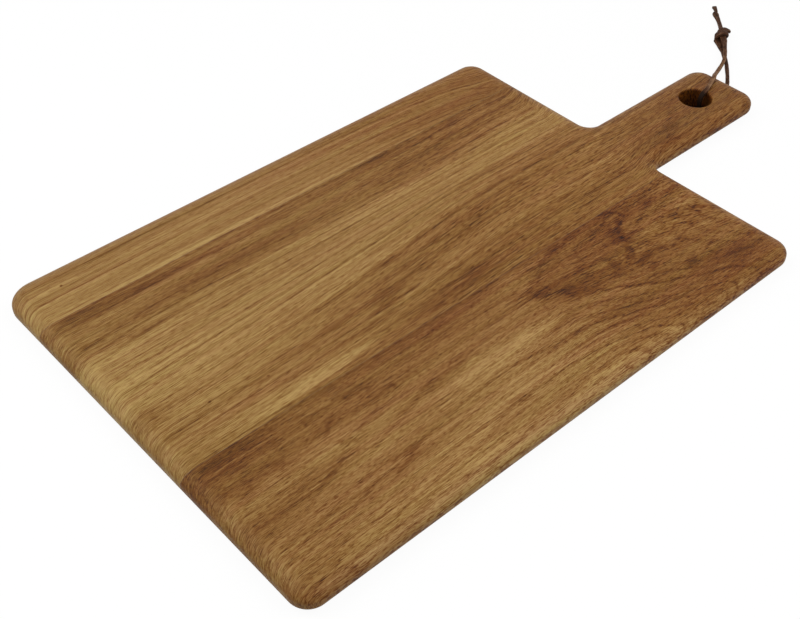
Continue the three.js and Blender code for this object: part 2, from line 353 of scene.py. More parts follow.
stain_and_painted_light, given, result = new_group(
    "wood_stain_and_painted_light", [(label, "Float") for label in MARK_INPUTS], [("Mask", "Float")]
)
along = calc(stain_and_painted_light, "SUBTRACT", given["X"], given["Middle X"])
lean = calc(stain_and_painted_light, "MULTIPLY_ADD", along, given["Slant"], given["Middle Y"])
across = calc(stain_and_painted_light, "SUBTRACT", given["Y"], lean)
far_along = calc(stain_and_painted_light, "POWER", calc(stain_and_painted_light, "DIVIDE", along, given["Half Length"]), 2)
far_across = calc(stain_and_painted_light, "POWER", calc(stain_and_painted_light, "DIVIDE", across, given["Half Width"]), 2)
reach = calc(stain_and_painted_light, "SQRT", calc(stain_and_painted_light, "ADD", far_along, far_across))
ragged_reach = calc(stain_and_painted_light, "ADD", reach, given["Fray"])
stain_and_painted_light.links.new(ease(stain_and_painted_light, ragged_reach, MARK_RIM, MARK_CORE), result["Mask"])

# A year's ring is dark and full of pores where spring begins, and paler after that.
GROWTH_INPUTS = ("X", "Across", "Depth", "Radius", "Ray", "Ring", "Lines", "Pore Depth")
RING_WAVER = 0.75
RING_FEATHER = 0.35
RING_TONES = (
    (0, -0.5), (0.07, -0.48), (0.18, 0.02), (0.35, 0.15), (0.75, 0.11), (0.92, -0.04), (1, -0.5),
)
FAINTEST_RING = 0.35
FADED_LINE = 0.25
PORES_IN_SPRING = 0.8
PORES_IN_AUTUMN = 0.42
SPECK_SHARE = 0.8
BAND_SHARE = 0.55
STREAK_SHARE = 0.85
THREAD_SHARE = -0.14
MEAN_MADE_UP = 0.185

growth, given, result = new_group(
    "oak_growth", [(label, "Float") for label in GROWTH_INPUTS],
    [("Tone", "Float"), ("Pores", "Float")],
)
fibre = node(growth, "CombineXYZ", {"X": given["X"], "Y": given["Across"], "Z": given["Depth"]}).outputs[0]
layer = node(growth, "CombineXYZ", {"X": given["X"], "Y": given["Radius"], "Z": given["Ray"]}).outputs[0]
waver = swing(growth, layer, (110, 8, 14))
feather = swing(growth, fibre, (60, 1.0, 1.0), shift=13.0)
ring = calc(growth, "MULTIPLY_ADD", waver, RING_WAVER, given["Ring"])
ring = calc(growth, "MULTIPLY_ADD", feather, RING_FEATHER, ring)
phase = calc(growth, "FRACT", ring)
luck = node(growth, "TexWhiteNoise", {"W": calc(growth, "FLOOR", ring)}, noise_dimensions="1D").outputs[0]
edge = drawn(growth, phase, RING_TONES)
fade = ease(growth, noise(growth, layer, (150, 3, 14), shift=7.0), 0.36, 0.6, FADED_LINE, 1.0)
bold = calc(growth, "MULTIPLY_ADD", luck, 1.0, FAINTEST_RING)
lines = calc(growth, "MULTIPLY", calc(growth, "MULTIPLY", edge, bold), fade)
lines = calc(growth, "MULTIPLY", lines, given["Lines"])
band = swing(growth, layer, (220, 12, 40), shift=3.0)
streak = swing(growth, fibre, (200, 1.8, 1.8), detail=4.0, roughness=0.66)
strand = swing(growth, fibre, (90, 1.2, 1.2), shift=9.0)
thread = ease(growth, calc(growth, "ABSOLUTE", strand), 0.0, 0.035, 1.0, 0.0)
early = ease(growth, phase, 0.55, 0.05, PORES_IN_AUTUMN, PORES_IN_SPRING)
dashes = noise(growth, fibre, (11, 0.48, 0.48), detail=1.0, roughness=0.5, shift=5.0)
specks = noise(growth, fibre, (2.8, 0.32, 0.32), detail=0.0, shift=15.0)
pores = calc(growth, "MULTIPLY", ease(growth, dashes, 0.5, 0.6), early)
pores = calc(growth, "MULTIPLY_ADD", ease(growth, specks, 0.5, 0.66), SPECK_SHARE, pores)
growth.links.new(total(
    growth, calc(growth, "MULTIPLY", band, BAND_SHARE), calc(growth, "MULTIPLY", streak, STREAK_SHARE),
    lines, calc(growth, "MULTIPLY", thread, THREAD_SHARE),
    calc(growth, "MULTIPLY", calc(growth, "MULTIPLY", pores, given["Pore Depth"]), -1.0), MEAN_MADE_UP,
), result["Tone"])
growth.links.new(pores, result["Pores"])

OIL_GLOSS = 0.15
ROUGH_IF_DARK = 0.56
ROUGH_IF_PALE = 0.44
PORE_SINK = -0.6
BUMP_STRENGTH = 0.25
BUMP_DEPTH = 0.0003
END_GRAIN_X = -225
END_GRAIN_LENGTH = 11
MIDDLE_TONE = 0.5
HUE_ALONG = ((-250, 0.504), (-200, 0.501), (-60, 0.499), (131, 0.496), (250, 0.494))
WARMTH_SWING = 0.03
DARKEST_TONE = -0.4
OAK_TONES = (
    (DARKEST_TONE, (38, 20, 8)),
    (0.0, (85, 46, 13)),
    (0.25, (114, 70, 25)),
    (0.5, (138, 96, 46)),
    (0.75, (161, 123, 69)),
    (1.0, (186, 152, 92)),
)


def linear(colour):
    """A colour written in picture values from 0 to 255, as the shader wants it."""
    parts = []
    for value in colour:
        part = value / 255
        parts.append(part / 12.92 if part <= 0.04045 else ((part + 0.055) / 1.055) ** 2.4)
    return (*parts, 1.0)


def oak(name, grain, fibre_length, end_x, pore_depth, redness, fraying, tone_across, tone_along, marks):
    """An oiled oak finish with that stave's grain, its slow changes of tone, its own marks and a few marks
    of painted light.

    A mark is its middle, half length, half width, slant and change of tone, in millimetres.
    """
    material = bpy.data.materials.new(name)
    material.use_nodes = True
    tree = material.node_tree
    place = node(tree, "TexCoord").outputs["Object"]
    place = node(tree, "VectorMath", {0: place, "Scale": UNIT}, operation="SCALE").outputs[0]
    apart = node(tree, "SeparateXYZ", {"Vector": place}).outputs
    x, y, z = apart["X"], apart["Y"], apart["Z"]
    # The grain's last value adds to the tone: a darker ring in the near stave, and painted shade on the
    # hole's wall in the middle stave.
    across, tilt, grown_from, accent = grain(tree, x, y, z)
    grown_from["X"] = calc(tree, "DIVIDE", x, fibre_length)
    # On the rounded ends the lines follow the curve down, so they show as end grain.
    cut_ends = total(
        tree, ease(tree, x, END_GRAIN_X, END_GRAIN_X - END_GRAIN_LENGTH),
        ease(tree, x, end_x - 12, end_x - 2),
    )
    cut_ends = calc(tree, "MULTIPLY", cut_ends, ease(tree, calc(tree, "ABSOLUTE", y), 140, 122))
    below = calc(tree, "SUBTRACT", THICKNESS * UNIT, z)
    sunk = calc(tree, "MULTIPLY", calc(tree, "MULTIPLY", below, tilt), cut_ends)
    grown_from["Across"] = calc(tree, "ADD", grown_from["Across"], sunk)
    grown_from["Depth"] = calc(tree, "DIVIDE", z, 6.0)
    grown_from["Pore Depth"] = ease(tree, x, -80, 50, pore_depth, 1.3 * pore_depth)
    grown = node(tree, "Group", grown_from, node_tree=growth)
    tone = total(
        tree, grown.outputs["Tone"], drawn(tree, across, tone_across), drawn(tree, x, tone_along),
        accent, MIDDLE_TONE,
    )
    # The marks fray out along the grain.
    fray = swing(tree, place, (30, 2.2, 2.2), detail=3.0, shift=2.0)
    ragged = swing(tree, place, (16, 0.7, 0.7), detail=1.0, shift=6.0)
    fray = calc(tree, "ADD", fray, ragged)
    fray = calc(tree, "MULTIPLY", fray, ease(tree, x, -20, 30, *fraying))
    for mark_x, mark_y, half_length, half_width, slant, strength in marks:
        spot = node(tree, "Group", {
            "X": x, "Y": y, "Fray": fray, "Middle X": mark_x, "Middle Y": mark_y,
            "Half Length": half_length, "Half Width": half_width, "Slant": slant,
        }, node_tree=stain_and_painted_light)
        tone = calc(tree, "MULTIPLY_ADD", spot.outputs["Mask"], strength, tone)
    on_ramp = node(tree, "MapRange", {"Value": tone, "From Min": DARKEST_TONE, "From Max": 1.0}).outputs[0]
    colours = node(tree, "ValToRGB", {"Fac": on_ramp})
    stops = colours.color_ramp.elements
    stops[0].color = linear(OAK_TONES[0][1])
    stops[1].color = linear(OAK_TONES[-1][1])
    for at, colour in OAK_TONES[1:-1]:
        stops.new((at - DARKEST_TONE) / (1.0 - DARKEST_TONE)).color = linear(colour)
    warmth = swing(tree, place, (120, 7, 7), shift=17.0)
    hue = total(
        tree, drawn(tree, x, HUE_ALONG), calc(tree, "MULTIPLY", warmth, WARMTH_SWING), -redness,
    )
    tinted = node(tree, "HueSaturation", {
        "Hue": hue, "Saturation": ease(tree, x, -100, 100, 1.0, 1.03), "Color": colours.outputs["Color"],
    })
    height = calc(tree, "MULTIPLY_ADD", grown.outputs["Pores"], PORE_SINK, tone)
    bump = node(tree, "Bump", {"Height": height, "Strength": BUMP_STRENGTH, "Distance": BUMP_DEPTH})
    shader = tree.nodes["Principled BSDF"]
    tree.links.new(tinted.outputs["Color"], shader.inputs["Base Color"])
    tree.links.new(ease(tree, tone, 0.0, 1.0, ROUGH_IF_DARK, ROUGH_IF_PALE), shader.inputs["Roughness"])
    tree.links.new(bump.outputs["Normal"], shader.inputs["Normal"])
    shader.inputs["Specular IOR Level"].default_value = OIL_GLOSS
    return material


def round_pith(tree, across, z, pith_y, pith_z, usual_radius):
    """Distance from the pith, and the place along the ring, both in millimetres."""
    aside = calc(tree, "SUBTRACT", across, pith_y)
    above = calc(tree, "SUBTRACT", z, pith_z)
    square = calc(tree, "MULTIPLY_ADD", aside, aside, calc(tree, "MULTIPLY", above, above))
    radius = calc(tree, "SQRT", square)
    ray = calc(tree, "MULTIPLY", calc(tree, "ARCTAN2", aside, above), usual_radius)
    return radius, ray


def far_grain(tree, x, y, z):
    """Straight lines that dip at the handle end."""
    dip = drawn(tree, x, ((-250, 0), (-20, 0), (51, -3), (87, -7), (111, -13), (131, -17)))
    across = calc(tree, "SUBTRACT", y, dip)
    radius, ray = round_pith(tree, across, z, pith_y=190.0, pith_z=-70.0, usual_radius=111.0)
    ring_width = 3.1
    lines = ease(tree, x, 0, 70, 0.42, 0.16)
    return across, 1.2, {
        "Across": across, "Radius": radius, "Ray": ray, "Lines": lines,
        "Ring": calc(tree, "DIVIDE", radius, ring_width),
    }, 0.0


far_stave.data.materials.append(oak(
    "oiled_oak_far", far_grain, fibre_length=1.7, end_x=NECK * UNIT,
    pore_depth=0.27, redness=0.001, fraying=(1.6, 1.6),
    tone_across=((96, 0.08), (101, 0.08), (112, 0.05), (128, 0.03), (140, 0.0)),
    tone_along=((-250, 0.1), (-160, 0.02), (-20, 0.0), (40, -0.04), (131, -0.03)),
    marks=(
        (-165, 98.7, 75, 2.6, 0, 0.18),
        (-178, 128.7, 60, 0.7, 0, -0.25),
        (-226, 121.5, 11, 0.8, 0, 0.2),
        (-219.5, 120.2, 0.9, 0.8, 0, -0.6),
        (107, 108, 9, 1.0, -0.6, -0.2),
        (70, 103, 60, 9, -0.03, -0.13),
        (110, 101, 34, 9, 0, -0.05),
        (90, 130, 60, 8, 0, 0.07),
        (-90, 126.6, 110, 1.6, 0, -0.12),
    ),
))


# The middle stave: the wide white oak plank that carries the handle in one piece, with the hanging
# hole drilled through it. Its lines are straight at the far side and climb to a crest at the other.

middle_stave = slice_of_panel("middle_stave", "stave_middle")


def middle_grain(tree, x, y, z):
    """Straight lines that climb to a crest before the handle in the stave's lower half, and painted shade
    on the hole's wall.
    """
    climb = drawn(tree, x, (
        (-250, 0), (-164, 5.2), (-101, 10), (-60, 14), (-20, 18.5), (10, 21.5), (30, 22.5), (72, 22),
        (131, 21.5), (160, 23), (250, 29),
    ))
    share = drawn(tree, y, (
        (-45, 0.34), (-25, 0.5), (-8, 0.68), (8, 0.86), (20, 0.97), (32, 0.84), (48, 0.28), (64, 0.0),
    ))
    share = calc(tree, "MULTIPLY_ADD", calc(tree, "SUBTRACT", 0.8, share), ease(tree, x, 112, 150), share)
    sway = drawn(tree, x, (
        (-250, -12), (-217, -3), (-188, 3), (-155, 4), (-115, 0), (0, -1), (63, 6), (84, 8), (131, 2),
    ))
    sway = calc(tree, "MULTIPLY", sway, ease(tree, y, 40, 66))
    across = calc(tree, "SUBTRACT", y, calc(tree, "MULTIPLY", climb, share))
    swayed = calc(tree, "SUBTRACT", across, sway)
    pith = {"pith_y": 150.0, "pith_z": -75.0, "usual_radius": 170.0}
    ring_width = 5.0
    radius, ray = round_pith(tree, across, z, **pith)
    half_swayed = calc(tree, "MULTIPLY_ADD", sway, -0.5, across)
    ring_radius = round_pith(tree, half_swayed, z, **pith)[0]
    lines = drawn(tree, y, (
        (-42, 0.24), (0, 0.28), (18, 0.4), (30, 0.66), (62, 0.66), (74, 0.28), (96, 0.28),
    ))
    lines = calc(tree, "MULTIPLY", lines, ease(tree, x, -247, -232, 0.35, 1.0))
    lines = calc(tree, "MULTIPLY", lines, ease(tree, x, 110, 140, 1.0, 0.3))
    # Painted shade: the tone darkens on the hole's wall and the inner edge of its rounded rim.
    aside = calc(tree, "SUBTRACT", x, HOLE_X * UNIT)
    from_hole = calc(tree, "SQRT", calc(tree, "MULTIPLY_ADD", aside, aside, calc(tree, "MULTIPLY", y, y)))
    wall = HOLE_RADIUS * UNIT
    painted_hole_shade = ease(tree, from_hole, wall + 0.9, wall + 0.1, 0.0, -0.38)
    return swayed, 0.75, {
        "Across": across, "Radius": radius, "Ray": ray, "Lines": lines,
        "Ring": calc(tree, "DIVIDE", ring_radius, ring_width),
    }, painted_hole_shade


middle_stave.data.materials.append(oak(
    "oiled_oak_middle", middle_grain, fibre_length=1.7, end_x=HANDLE_END * UNIT,
    pore_depth=0.38, redness=0.0, fraying=(1.6, 1.6),
    tone_across=(
        (-95, -0.06), (-41, -0.03), (-30, 0), (-18, 0.03), (-8, 0.09), (5, 0.13), (20, 0.17), (40, 0.15),
        (55, 0.1), (64, 0.02), (70, -0.06), (80, -0.09), (90, -0.09), (110, -0.09),
    ),
    tone_along=((-250, 0.13), (-241, 0.1), (-228, 0.03), (-60, 0.01), (131, 0.0), (250, -0.06)),
    marks=(
        (-207, 90, 36, 6, 0, -0.22),
        (-168, 88, 20, 2.5, 0, -0.15),
        (-131, 83, 7, 2.5, -0.3, -0.12),
        (-162, 73, 58, 4.5, 0, -0.08),
        (-203, 59, 33, 4, 0, -0.10),
        (0, 93, 20, 3, 0, -0.14),
        (-208, 29.7, 31, 0.8, 0, 0.18),
        (-148, -34, 42, 4.5, 0.02, 0.24),
        (-83, -13, 17, 5.5, 0.05, -0.2),
        (-32, -31, 17, 8, 0.05, -0.22),
        (-60, -34, 20, 5, 0.05, -0.12),
        (-14, 4, 24, 4, 0.05, -0.12),
        (-208, -10.5, 0.9, 0.7, 0, -0.4),
        (-173.6, -15.5, 0.9, 0.7, 0, -0.4),
        (190, 0, 80, 40, 0, -0.18),
        (171, -11, 8, 4.5, 0.1, -0.16),
        (160, -19, 9, 4, 0.1, -0.12),
        (184, -0.5, 9, 3.5, 0.1, -0.14),
        (198, 8.5, 14, 2.2, 0.05, -0.12),
        (204, -20, 42, 8, 0, 0.16),
        (135, -24, 22, 6, 0, 0.08),
        (232, -14, 14, 12, 0, 0.07),
        # Painted highlights: the next two marks paint light caught on the handle's far end corner and
        # along its far edge.
        (234, 20.5, 7, 2.5, -0.4, 0.16),
        (180, 25.4, 55, 1.2, 0, 0.1),
        (-215, 76, 40, 7, 0, 0.08),
        (-178, -32.5, 56, 7, 0, 0.13),
        (40, 20, 120, 14, 0.06, -0.12),
        (-76, 2, 40, 14, 0.05, -0.08),
        (-190, 2, 45, 16, 0.03, 0.1),
        (0, -34, 130, 9, 0.02, -0.09),
        (-116, -17, 30, 9, 0, -0.08),
        (-215, -25, 40, 18, 0, 0.04),
        (-35, 60, 60, 12, 0, 0.09),
        (45, 78, 60, 8, 0, -0.09),
        (-175, 58, 45, 9, 0, -0.08),
        (100, 90, 34, 6, 0, 0.09),
        (100, 58, 34, 10, 0, 0.07),
        (-90, 40, 130, 12, 0, -0.05),
        (-180, 77, 70, 8, 0, 0.07),
        (30, -4, 110, 26, 0.04, -0.06),
        (-242, 0, 12, 12, 0, -0.07),
    ),
))


# The near stave: a broad white oak plank sawn along its rings, so it shows arches, and a patch of
# wild dark figure towards the handle. It is glued to the middle stave and oiled like the others.

near_stave = slice_of_panel("near_stave", "stave_near")


def near_grain(tree, x, y, z):
    """Arches, where the pith comes up towards the board's face at both ends of the stave."""
    deepest_x = -80.0
    pith_depth = -78.0
    pith_rise = 5e-4
    drift_x = -18.0
    drift_slope = -0.2
    pith_middle = -62.0
    away = calc(tree, "SUBTRACT", x, deepest_x)
    pith_z = calc(tree, "MULTIPLY_ADD", calc(tree, "MULTIPLY", away, away), pith_rise, pith_depth)
    past = calc(tree, "MAXIMUM", calc(tree, "SUBTRACT", x, drift_x), 0.0)
    drift = calc(tree, "MULTIPLY", past, drift_slope)
    pith_y = calc(tree, "ADD", drift, pith_middle)
    place = node(tree, "CombineXYZ", {"X": x, "Y": y, "Z": z}).outputs[0]
    wave = swing(tree, place, (34, 11, 11), detail=3.0, shift=4.0)
    frayed = swing(tree, place, (14, 0.9, 0.9), detail=2.0, shift=8.0)
    radius, ray = round_pith(tree, y, z, pith_y, pith_z, usual_radius=93.0)
    wave_height = 3.2
    radius = calc(tree, "MULTIPLY_ADD", wave, wave_height, radius)
    radius = calc(tree, "MULTIPLY_ADD", frayed, ease(tree, x, -60, 0, 3.0, 1.4), radius)
    bold_ring = 91.05
    ring_width = 2.8
    outer = calc(tree, "SUBTRACT", radius, bold_ring)
    accent = drawn(tree, outer, (
        (-3.5, 0), (-1.2, -0.04), (-0.5, -0.15), (0, -0.18), (0.5, -0.08), (1.4, -0.02), (3, 0),
    ))
    accent = calc(tree, "MULTIPLY", accent, ease(tree, x, -75, -35))
    accent = calc(tree, "MULTIPLY", accent, ease(tree, y, -48, -68, 0.0, 1.0))
    follow = drawn(tree, y, ((-140, 0.3), (-125, 0.6), (-100, 0.9), (-70, 0.45), (-41, 0.0)))
    across = calc(tree, "SUBTRACT", y, calc(tree, "MULTIPLY", drift, follow))
    lines = drawn(tree, x, ((-250, 0.34), (-70, 0.34), (-10, 0.5), (60, 0.42), (110, 0.28), (131, 0.25)))
    return y, 0.9, {
        "Across": across, "Radius": radius, "Ray": ray, "Lines": lines,
        "Ring": calc(tree, "DIVIDE", outer, ring_width),
    }, accent


near_stave.data.materials.append(oak(
    "oiled_oak_near", near_grain, fibre_length=1.1, end_x=NECK * UNIT,
    pore_depth=0.4, redness=0.003, fraying=(1.6, 0.9),
    tone_across=(
        (-140, 0.0), (-128, 0.04), (-105, 0.05), (-85, 0.02), (-70, -0.06), (-55, -0.12), (-41, -0.16),
    ),
    tone_along=((-250, -0.02), (-120, 0.03), (-30, 0.03), (20, -0.10), (60, -0.08), (131, -0.01)),
    marks=(
        (-216, -46, 24, 6, 0, -0.16),
        (-45, -88, 20, 6, 0, 0.2),
        (-90, -91, 32, 5, 0.05, 0.14),
        (-151, -93, 34, 3.5, 0.05, 0.13),
        (-104, -77.5, 19, 4, 0.05, -0.14),
        (-172, -64.5, 7, 2.2, 0.7, -0.2),
        (-172, -78, 6, 2.4, -0.5, -0.2),
        (-204, -69, 8, 2.4, -0.6, -0.14),
        (-144, -51, 3, 2, -0.6, -0.14),
        (-193, -90, 11, 1.6, 0.3, -0.14),
        (-153, -107, 17, 1.5, 0.35, -0.18),
        (-87, -115, 8, 2, 0, -0.15),
        (-130, -131.5, 26, 1.4, 0, 0.14),
        (-21, -111.5, 21, 0.7, -0.05, -0.25),
        (12, -117, 14, 0.8, -0.22, -0.2),
        (-72, -105, 18, 0.9, 0, 0.15),
        (4, -53, 46, 14, 0, 0.15),
        (16, -46, 6, 3, 0.2, -0.24),
        (34, -44, 8, 3, 0.1, -0.12),
        (52, -51, 10, 5, 0, -0.12),
        (65.7, -42.8, 6.5, 2.0, -0.4, -0.34),
        (71, -46.5, 2.6, 1.3, -0.8, -0.26),
        (73.5, -50, 1.8, 3.0, 0, -0.3),
        (66.5, -54.8, 3.2, 2.8, 0.3, -0.4),
        (61, -59, 3, 2.2, 0.6, -0.26),
        (55.5, -63, 7, 4.5, 0.5, -0.28),
        (58, -69, 4, 3.4, 0, -0.24),
        (52, -76, 3, 4.5, 0.4, -0.34),
        (47, -79.5, 3, 3, 0, -0.3),
        (53, -87, 9, 3, 0.25, -0.3),
        (51, -95, 5, 2.4, 0.2, -0.22),
        (34.7, -77.8, 3, 6, 0.4, -0.24),
        (73.5, -70, 11, 7, 0, 0.1),
        (100, -45.5, 9, 1.2, 0, -0.24),
        (95, -52, 6, 2.4, 0, -0.2),
        (99, -69, 4, 2.6, 0, -0.2),
        (95.5, -73, 3, 2.6, 0, -0.18),
        (101.5, -84.5, 6, 3.4, 0.3, -0.2),
        (85, -88, 8, 1.5, 0.15, -0.14),
        (75, -91, 3, 1.4, 0, -0.22),
        (71, -108, 7, 4, 0.2, -0.27),
        (91, -105, 8, 1.0, 0.18, -0.28),
        (88, -113, 1.5, 0.9, 0, -0.3),
        (100, -119.5, 12, 2.0, -0.25, -0.3),
        (88, -128, 12, 0.8, 0, -0.12),
        (120, -114.5, 5, 3, 0, -0.18),
        (112, -67, 8, 4, 0.3, 0.12),
        (-225, -92, 32, 22, 0, -0.09),
        (-13, -85, 33, 10, 0, -0.15),
        (55, -103, 50, 12, 0, -0.07),
        (95, -118, 35, 12, 0, -0.17),
        (-190, -58, 70, 16, 0, -0.08),
        (-196, -85, 25, 9, 0, -0.11),
        (-95, -122, 80, 8, 0, -0.03),
        (105, -47, 22, 8, 0, 0.06),
        (-70, -105, 60, 9, 0, 0.05),
        (-76, -85, 25, 9, 0, 0.05),
        (10, -120, 25, 8, 0, 0.06),
        (30, -62, 40, 14, 0, 0.04),
        # Painted light: the next two marks lighten the rounded near edge, standing in for the light that
        # falls on it.
        (-35, -138.5, 120, 5.5, 0, 0.18),
        (45, -138, 45, 6, 0, 0.06),
        (100, -128, 22, 7, 0, -0.1),
    ),
))


# The glue lines: two thin films of wood glue between the staves, set hard and planed flush with the
# faces. They dry a little darker than the oak.

far_glue_line = slice_of_panel("far_glue_line", "glue_line_far")
near_glue_line = slice_of_panel("near_glue_line", "glue_line_near")
bpy.data.objects.remove(panel)

GLUE_DARK = (70, 44, 24)
GLUE_PALE = (112, 76, 42)

film = bpy.data.materials.new("glue_film")
film.use_nodes = True
tree = film.node_tree
place = node(tree, "TexCoord").outputs["Object"]
patchy = noise(tree, place, (0.03, 0.002, 0.002), detail=2.0)
colours = node(tree, "ValToRGB", {"Fac": patchy})
colours.color_ramp.elements[0].color = linear(GLUE_DARK)
colours.color_ramp.elements[1].color = linear(GLUE_PALE)
shader = tree.nodes["Principled BSDF"]
tree.links.new(colours.outputs["Color"], shader.inputs["Base Color"])
tree.links.new(ease(tree, patchy, 0.3, 0.7, 0.4, 0.6), shader.inputs["Roughness"])
for piece in (far_glue_line, near_glue_line):
    piece.data.materials.append(film)


# The thong: one brown leather lace, cut flat, pulled through the hole and round the handle's end.
# One end goes straight on as the long tail; the other is wound round it and ends in a short stub.

LACE_HALF_WIDTH = 1.7 * MM
LACE_HALF_THICKNESS = 1.2 * MM
LACE_AROUND = 20
LACE_STEP = 0.7 * MM
LACE_UV_LENGTH = 10.0
ROUTE_STEPS = 24
BIGHT_BOW = 5.4
RUN_Z = 1.3
TOP_RUN_Z = 16.5
end = HANDLE_END / MM
bend_x = HOLE_X / MM + HOLE_RADIUS / MM - 0.3
KNOT = Vector((end + 60.0, 47.5, 4.2))
KNOT_HEADING = math.radians(41)
knot_along = Vector((math.cos(KNOT_HEADING), math.sin(KNOT_HEADING), 0))
knot_right = Vector((math.sin(KNOT_HEADING), -math.cos(KNOT_HEADING), 0))
UP = Vector((0, 0, 1))


def bight(degrees):
    """A point of the lace's bend inside the hole, and the way its outer face looks there."""
    turn = math.radians(degrees)
    rise = (TOP_RUN_Z - RUN_Z) / 2
    place = Vector((
        bend_x - BIGHT_BOW * math.sin(turn), GROOVE_Y / MM, RUN_Z + rise * (1 - math.cos(turn))
    ))
    return place, Vector((-math.sin(turn), 0, -math.cos(turn))), 1.0


def knotted(along, right, height, face, spread):
    """A point given along and across the knot, with its height over the table, in millimetres."""
    place = KNOT + along * knot_along + right * knot_right
    place.z = height
    facing = face[0] * knot_along + face[1] * knot_right + face[2] * UP
    return place, facing, spread


def on_way(x, y, z, face=UP, spread=1.0):
    """A point of the lace's route past the handle's end."""
    return Vector((end + x, y, z)), Vector(face), spread


def spline(points, at):
    """The point at that place on a smooth curve through the points."""
    first = min(int(at), len(points) - 2)
    part = at - first
    a = points[max(first - 1, 0)]
    b = points[first]
    c = points[first + 1]
    d = points[min(first + 2, len(points) - 1)]
    return 0.5 * (
        2 * b + (c - a) * part + (2 * a - 5 * b + 4 * c - d) * part ** 2
        + (3 * b - a - 3 * c + d) * part ** 3
    )


def lace(name, route, start):
    """Sweeps the lace's flat section along a route of points, facings and spreads, with square ends."""
    points = [place * MM for place, facing, spread in route]
    facings = [facing for place, facing, spread in route]
    spreads = [spread for place, facing, spread in route]
    samples = []
    for step in range((len(points) - 1) * ROUTE_STEPS + 1):
        at = step / ROUTE_STEPS
        samples.append((spline(points, at), spline(facings, at), spline(spreads, at)))
    centres = [samples[0]]
    walked = 0.0
    for before, after in zip(samples, samples[1:]):
        walked += (after[0] - before[0]).length
        if walked >= LACE_STEP:
            centres.append(after)
            walked = 0.0
    shape = bmesh.new()
    strip = shape.loops.layers.uv.new("lace")
    rings = []
    lengths = [start]
    for index, (centre, facing, spread) in enumerate(centres):
        before = centres[max(index - 1, 0)][0]
        after = centres[min(index + 1, len(centres) - 1)][0]
        heading = (after - before).normalized()
        normal = (facing - heading * facing.dot(heading)).normalized()
        side = heading.cross(normal)
        if index:
            lengths.append(lengths[-1] + (centre - before).length)
        # Cut by hand, the lace wavers a little in width and thickness.
        run = lengths[-1] / MM
        uneven = 0.94 + 0.04 * math.sin(run * 0.31) + 0.02 * math.sin(run * 0.83 + 1)
        wide = spread * LACE_HALF_WIDTH * uneven
        thick = LACE_HALF_THICKNESS * (0.95 + 0.05 * math.sin(run * 0.47 + 2))
        ring = []
        for corner in range(LACE_AROUND):
            angle = 2 * math.pi * (corner + 0.5) / LACE_AROUND
            across = math.copysign(abs(math.cos(angle)) ** 0.5, math.cos(angle))
            through = math.copysign(abs(math.sin(angle)) ** 0.5, math.sin(angle))
            ring.append(shape.verts.new(
                centre + side * wide * across + normal * thick * through
            ))
        rings.append(ring)
    for index, (ring, after) in enumerate(zip(rings, rings[1:])):
        for corner in range(LACE_AROUND):
            beside = (corner + 1) % LACE_AROUND
            face = shape.faces.new((ring[corner], ring[beside], after[beside], after[corner]))
            face.smooth = True
            corners = ((index, corner), (index, corner + 1), (index + 1, corner + 1), (index + 1, corner))
            for loop, (row, column) in zip(face.loops, corners):
                loop[strip].uv = (lengths[row] / MM / LACE_UV_LENGTH, column / LACE_AROUND)
    for ring in (rings[0], rings[-1]):
        cap = shape.faces.new(ring)
        for loop in cap.loops:
            loop[strip].uv = (0, 0)
    bmesh.ops.recalc_face_normals(shape, faces=shape.faces[:])
    mesh = bpy.data.meshes.new(name)
    shape.to_mesh(mesh)
    shape.free()
    piece = bpy.data.objects.new(name, mesh)
    bpy.context.collection.objects.link(piece)
    return piece, [centre for centre, facing, spread in centres]


over_route = [
    bight(90),
    bight(120),
    bight(150),
    bight(180),
    on_way(bend_x + 3.4 - end, 0.5, TOP_RUN_Z),
    on_way(-11.0, 4.6, 16.75),
    on_way(-4.94, 7.8, 15.79),
    on_way(-1.28, 9.9, 13.90),
    on_way(4.0, 13.0, 10.3, UP, 0.87),
    on_way(11.0, 16.7, 6.6, UP, 0.85),
    on_way(18.3, 20.4, 3.2, UP, 0.85),
    on_way(25.4, 23.0, 2.6, UP, 0.85),
    on_way(31.0, 24.7, 3.9, UP, 0.87),
    on_way(37.1, 27.8, 4.25, UP, 0.9),
    on_way(44.3, 32.8, 4.2, UP, 0.95),
    on_way(50.2, 37.5, 4.5, UP, 1.0),
    on_way(58.0, 44.5, 4.5, UP, 1.5),
    on_way(62.0, 50.0, 4.3, UP, 1.6),
    on_way(68.0, 54.6, 3.0),
    on_way(72.6, 57.6, 2.1),
    on_way(78.6, 63.2, 1.5),
    on_way(84.0, 69.0, 1.3),
    on_way(89.2, 75.2, 1.3, UP, 1.5),
    on_way(90.9, 75.6, 1.3, UP, 0.76),
    on_way(94.6, 79.3, 1.3, UP, 0.84),
    on_way(97.2, 82.5, 1.3, UP, 1.16),
]
DOWN = -UP
under_route = [
    bight(90),
    bight(60),
    bight(30),
    bight(0),
    on_way(bend_x + 3.4 - end, -0.5, RUN_Z, DOWN),
    on_way(-12.8, -0.5, RUN_Z, DOWN),
    on_way(-3.4, -0.5, RUN_Z, DOWN),
    on_way(5.5, 2.0, RUN_Z, DOWN, 0.88),
    on_way(14.3, 7.5, RUN_Z, DOWN, 0.88),
    on_way(20.5, 12.0, RUN_Z, DOWN, 0.88),
    on_way(26.3, 16.5, RUN_Z, DOWN, 0.88),
    on_way(31.9, 21.2, RUN_Z, DOWN, 0.88),
    on_way(35.7, 24.4, RUN_Z, DOWN, 0.88),
    on_way(40.6, 29.3, RUN_Z, DOWN),
    on_way(47.5, 36.4, RUN_Z, DOWN),
    knotted(-13.0, -1.0, 1.6, (0, 0, -1), 1.0),
]
